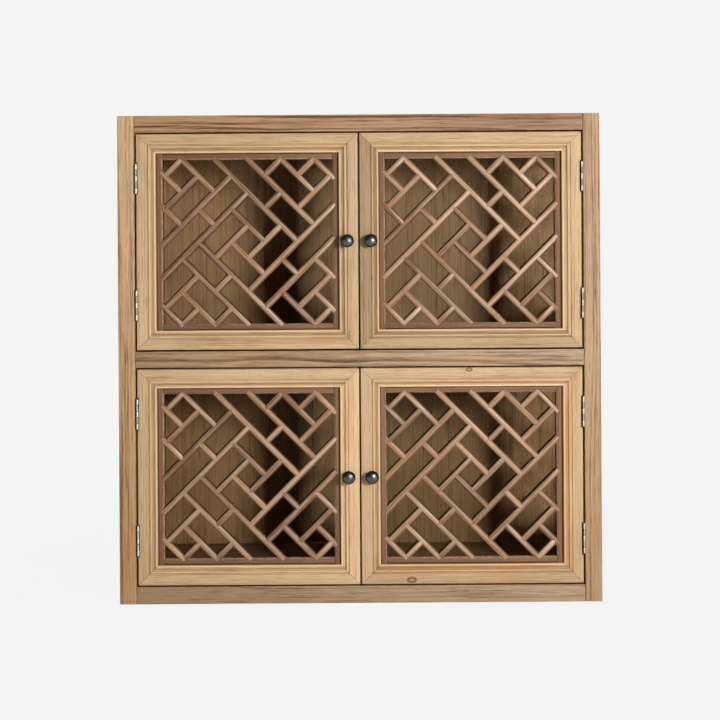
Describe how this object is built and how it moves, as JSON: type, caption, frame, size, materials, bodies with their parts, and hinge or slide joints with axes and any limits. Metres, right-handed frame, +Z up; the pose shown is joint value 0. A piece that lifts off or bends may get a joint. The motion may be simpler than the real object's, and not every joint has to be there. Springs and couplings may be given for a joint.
{
  "type": "display cabinet",
  "caption": "Free-standing pine display cabinet with framed fretwork lattice doors on butt hinges, round metal knobs and a shelf and partition inside.",
  "frame": {"origin": "on the floor, below the middle of the overall box with the knobs counted in", "axes": "+X to the viewer's right, +Y from the doors to the back, +Z up"},
  "size_m": [0.8, 0.3734, 0.81],
  "materials": {
    "carcass_pine": "oiled pine, satin",
    "door_pine": "light oiled pine, satin",
    "lattice_wood": "stained reddish brown, satin",
    "hinge_brass": "antique, worn",
    "knob_metal": "dark gunmetal, satin",
    "catch_plastic": "moulded, matt"
  },
  "bodies": {
    "cabinet": {"left_side": "carcass_pine", "right_side": "carcass_pine", "top_rail": "carcass_pine", "middle_rail": "carcass_pine", "bottom_rail": "carcass_pine", "top_panel": "carcass_pine", "shelf": "carcass_pine", "bottom_panel": "carcass_pine", "partition": "carcass_pine", "back_panel": "carcass_pine", "upper_catch": "catch_plastic", "lower_catch": "catch_plastic", "upper_left_frame_upper_leaf": "hinge_brass", "upper_left_upper_pin": "hinge_brass", "upper_left_frame_lower_leaf": "hinge_brass", "upper_left_lower_pin": "hinge_brass", "upper_right_frame_upper_leaf": "hinge_brass", "upper_right_upper_pin": "hinge_brass", "upper_right_frame_lower_leaf": "hinge_brass", "upper_right_lower_pin": "hinge_brass", "lower_left_frame_upper_leaf": "hinge_brass", "lower_left_upper_pin": "hinge_brass", "lower_left_frame_lower_leaf": "hinge_brass", "lower_left_lower_pin": "hinge_brass", "lower_right_frame_upper_leaf": "hinge_brass", "lower_right_upper_pin": "hinge_brass", "lower_right_frame_lower_leaf": "hinge_brass", "lower_right_lower_pin": "hinge_brass"},
    "upper_left_door": {"upper_left_door_hinge_stile": "door_pine", "upper_left_door_meeting_stile": "door_pine", "upper_left_door_top_rail": "door_pine", "upper_left_door_bottom_rail": "door_pine", "upper_left_door_lattice": "lattice_wood", "upper_left_door_knob": "knob_metal", "upper_left_door_upper_leaf": "hinge_brass", "upper_left_door_lower_leaf": "hinge_brass"},
    "upper_right_door": {"upper_right_door_hinge_stile": "door_pine", "upper_right_door_meeting_stile": "door_pine", "upper_right_door_top_rail": "door_pine", "upper_right_door_bottom_rail": "door_pine", "upper_right_door_lattice": "lattice_wood", "upper_right_door_knob": "knob_metal", "upper_right_door_upper_leaf": "hinge_brass", "upper_right_door_lower_leaf": "hinge_brass"},
    "lower_left_door": {"lower_left_door_hinge_stile": "door_pine", "lower_left_door_meeting_stile": "door_pine", "lower_left_door_top_rail": "door_pine", "lower_left_door_bottom_rail": "door_pine", "lower_left_door_lattice": "lattice_wood", "lower_left_door_knob": "knob_metal", "lower_left_door_upper_leaf": "hinge_brass", "lower_left_door_lower_leaf": "hinge_brass"},
    "lower_right_door": {"lower_right_door_hinge_stile": "door_pine", "lower_right_door_meeting_stile": "door_pine", "lower_right_door_top_rail": "door_pine", "lower_right_door_bottom_rail": "door_pine", "lower_right_door_lattice": "lattice_wood", "lower_right_door_knob": "knob_metal", "lower_right_door_upper_leaf": "hinge_brass", "lower_right_door_lower_leaf": "hinge_brass"}
  },
  "joints": [
    {"name": "upper_left_door_hinge", "type": "hinge", "parent": "cabinet", "child": "upper_left_door", "pos_m": [-0.3688, -0.16575, 0.6005], "axis": [0, 0, -1], "range_deg": [0, 170]},
    {"name": "upper_right_door_hinge", "type": "hinge", "parent": "cabinet", "child": "upper_right_door", "pos_m": [0.3688, -0.16575, 0.6005], "axis": [0, 0, 1], "range_deg": [0, 170]},
    {"name": "lower_left_door_hinge", "type": "hinge", "parent": "cabinet", "child": "lower_left_door", "pos_m": [-0.3688, -0.16575, 0.2105], "axis": [0, 0, -1], "range_deg": [0, 170]},
    {"name": "lower_right_door_hinge", "type": "hinge", "parent": "cabinet", "child": "lower_right_door", "pos_m": [0.3688, -0.16575, 0.2105], "axis": [0, 0, 1], "range_deg": [0, 170]}
  ]
}
